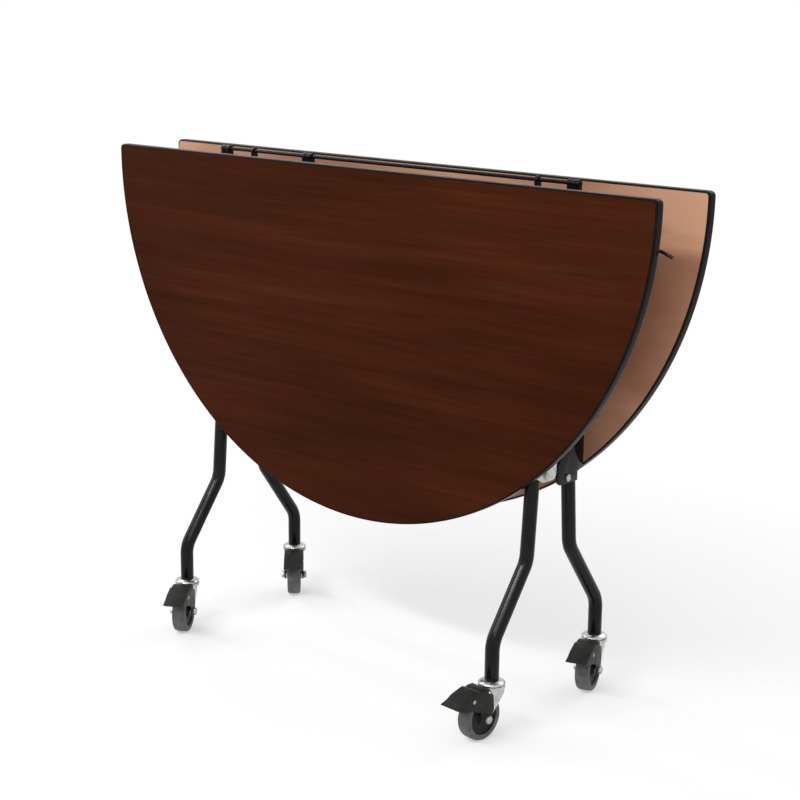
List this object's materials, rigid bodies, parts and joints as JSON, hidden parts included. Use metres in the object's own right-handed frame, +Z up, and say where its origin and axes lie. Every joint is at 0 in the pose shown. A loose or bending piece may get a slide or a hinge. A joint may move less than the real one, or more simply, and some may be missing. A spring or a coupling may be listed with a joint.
{
  "type": "folding round table on casters",
  "caption": "Round room service table that folds in half about a centre hinge and rolls on braked swivel casters; shown folded upright.",
  "frame": {"origin": "centre of the folded table's overall box, at floor level", "axes": "+X along the joint between the half tops, +Y across the fold towards the rear half, +Z up"},
  "size_m": [1.1088, 0.3732, 0.816],
  "materials": {
    "plywood": "sealed plywood",
    "walnut_laminate": "dark walnut laminate, satin",
    "tan_backer": "tan backing sheet, matte",
    "edge_moulding": "black moulding, semi gloss",
    "black_enamel": "gloss black enamel",
    "zinc": "bright zinc plate",
    "bolt_steel": "plated steel",
    "nylon": "natural nylon",
    "wheel_rubber": "dark grey rubber tread",
    "cover_plastic": "black plastic, fine texture"
  },
  "bodies": {
    "rear_legs": {"rear_leg_left": "black_enamel", "rear_leg_right": "black_enamel", "rear_cross_tube": "black_enamel", "rear_leg_bushes": "nylon", "rear_stay_studs": "black_enamel", "rear_right_mount": "zinc", "rear_left_mount": "zinc"},
    "rear_half": {"rear_core": "plywood", "rear_laminate": "walnut_laminate", "rear_backer": "tan_backer", "rear_edge_band": "edge_moulding", "rear_hinge_leaves": "black_enamel", "rear_pivot_bracket_left": "black_enamel", "rear_pivot_bracket_right": "black_enamel", "rear_pivot_bolts": "bolt_steel", "rear_keepers": "black_enamel", "rear_screws": "bolt_steel", "hinge_rod": "black_enamel"},
    "front_half": {"front_core": "plywood", "front_laminate": "walnut_laminate", "front_backer": "tan_backer", "front_edge_band": "edge_moulding", "front_hinge_leaves": "black_enamel", "front_pivot_bracket_left": "black_enamel", "front_pivot_bracket_right": "black_enamel", "front_pivot_bolts": "bolt_steel", "front_keepers": "zinc", "front_screws": "bolt_steel", "lock_guides": "black_enamel"},
    "front_legs": {"front_leg_left": "black_enamel", "front_leg_right": "black_enamel", "front_cross_tube": "black_enamel", "front_leg_bushes": "nylon", "front_stay_studs": "black_enamel", "lock_plate": "black_enamel", "front_right_mount": "zinc", "front_left_mount": "zinc"},
    "yoke": {"yoke_plates": "black_enamel", "stay_rod": "black_enamel"},
    "rear_stays": {"rear_stay_left": "black_enamel", "rear_stay_right": "black_enamel"},
    "front_stays": {"front_stay_left": "black_enamel", "front_stay_right": "black_enamel"},
    "lock_slide": {"lock_rod": "black_enamel"},
    "front_right_swivel": {"front_right_fork": "zinc", "front_right_axle": "bolt_steel"},
    "front_right_roller": {"front_right_wheel": "wheel_rubber"},
    "front_right_pedal": {"front_right_brake": "cover_plastic"},
    "front_left_swivel": {"front_left_fork": "zinc", "front_left_axle": "bolt_steel"},
    "front_left_roller": {"front_left_wheel": "wheel_rubber"},
    "front_left_pedal": {"front_left_brake": "cover_plastic"},
    "rear_right_swivel": {"rear_right_fork": "zinc", "rear_right_axle": "bolt_steel"},
    "rear_right_roller": {"rear_right_wheel": "wheel_rubber"},
    "rear_right_pedal": {"rear_right_brake": "cover_plastic"},
    "rear_left_swivel": {"rear_left_fork": "zinc", "rear_left_axle": "bolt_steel"},
    "rear_left_roller": {"rear_left_wheel": "wheel_rubber"},
    "rear_left_pedal": {"rear_left_brake": "cover_plastic"}
  },
  "joints": [
    {"name": "fold", "type": "hinge", "parent": "rear_legs", "child": "rear_half", "pos_m": [-0.00445, 0.05657, 0.686], "axis": [1, 0, 0], "range_deg": [0, 90]},
    {"name": "front_fold", "type": "hinge", "parent": "rear_half", "child": "front_half", "pos_m": [-0.00445, 0.03507, 0.8105], "axis": [1, 0, 0], "range_deg": [-180, 0]},
    {"name": "front_leg_pivot", "type": "hinge", "parent": "front_half", "child": "front_legs", "pos_m": [-0.00445, 0.01357, 0.686], "axis": [1, 0, 0], "range_deg": [0, 90]},
    {"name": "yoke_pivot", "type": "hinge", "parent": "rear_half", "child": "yoke", "pos_m": [-0.00445, 0.03507, 0.8105], "axis": [1, 0, 0], "range_deg": [-90, 0]},
    {"name": "rear_stay_pivot", "type": "hinge", "parent": "rear_legs", "child": "rear_stays", "pos_m": [-0.00445, 0.05657, 0.596], "axis": [1, 0, 0], "range_deg": [0, 90]},
    {"name": "front_stay_pivot", "type": "hinge", "parent": "front_legs", "child": "front_stays", "pos_m": [-0.00445, 0.01357, 0.596], "axis": [1, 0, 0], "range_deg": [-90, 0]},
    {"name": "lock_rod_slide", "type": "slide", "parent": "front_half", "child": "lock_slide", "axis": [1, 0, 0], "range_m": [-0.012, 0]},
    {"name": "front_right_swivel", "type": "hinge", "parent": "front_legs", "child": "front_right_swivel", "pos_m": [0.32955, -0.09593, 0.076], "axis": [0, 0, 1], "continuous": true},
    {"name": "front_right_roll", "type": "hinge", "parent": "front_right_swivel", "child": "front_right_roller", "pos_m": [0.32728, -0.12183, 0.035], "axis": [0.9962, -0.0872, 0], "continuous": true},
    {"name": "front_right_brake_press", "type": "hinge", "parent": "front_right_swivel", "child": "front_right_pedal", "pos_m": [0.32728, -0.12183, 0.035], "axis": [0.9962, -0.0872, 0], "range_deg": [0, 12]},
    {"name": "front_left_swivel", "type": "hinge", "parent": "front_legs", "child": "front_left_swivel", "pos_m": [-0.33845, -0.09593, 0.076], "axis": [0, 0, 1], "continuous": true},
    {"name": "front_left_roll", "type": "hinge", "parent": "front_left_swivel", "child": "front_left_roller", "pos_m": [-0.32467, -0.11798, 0.035], "axis": [0.848, 0.5299, 0], "continuous": true},
    {"name": "front_left_brake_press", "type": "hinge", "parent": "front_left_swivel", "child": "front_left_pedal", "pos_m": [-0.32467, -0.11798, 0.035], "axis": [0.848, 0.5299, 0], "range_deg": [0, 12]},
    {"name": "rear_right_swivel", "type": "hinge", "parent": "rear_legs", "child": "rear_right_swivel", "pos_m": [0.32955, 0.16607, 0.076], "axis": [0, 0, 1], "continuous": true},
    {"name": "rear_right_roll", "type": "hinge", "parent": "rear_right_swivel", "child": "rear_right_roller", "pos_m": [0.33715, 0.14121, 0.035], "axis": [0.9563, 0.2924, 0], "continuous": true},
    {"name": "rear_right_brake_press", "type": "hinge", "parent": "rear_right_swivel", "child": "rear_right_pedal", "pos_m": [0.33715, 0.14121, 0.035], "axis": [0.9563, 0.2924, 0], "range_deg": [0, 12]},
    {"name": "rear_left_swivel", "type": "hinge", "parent": "rear_legs", "child": "rear_left_swivel", "pos_m": [-0.33845, 0.16607, 0.076], "axis": [0, 0, 1], "continuous": true},
    {"name": "rear_left_roll", "type": "hinge", "parent": "rear_left_swivel", "child": "rear_left_roller", "pos_m": [-0.32072, 0.14705, 0.035], "axis": [0.7314, 0.682, 0], "continuous": true},
    {"name": "rear_left_brake_press", "type": "hinge", "parent": "rear_left_swivel", "child": "rear_left_pedal", "pos_m": [-0.32072, 0.14705, 0.035], "axis": [0.7314, 0.682, 0], "range_deg": [0, 12]}
  ],
  "couplings": [
    {"joint": "front_fold", "follows": "fold", "ratio": -2},
    {"joint": "front_leg_pivot", "follows": "fold", "ratio": 1},
    {"joint": "yoke_pivot", "follows": "fold", "ratio": -1},
    {"joint": "rear_stay_pivot", "follows": "fold", "ratio": 1},
    {"joint": "front_stay_pivot", "follows": "fold", "ratio": -1}
  ]
}
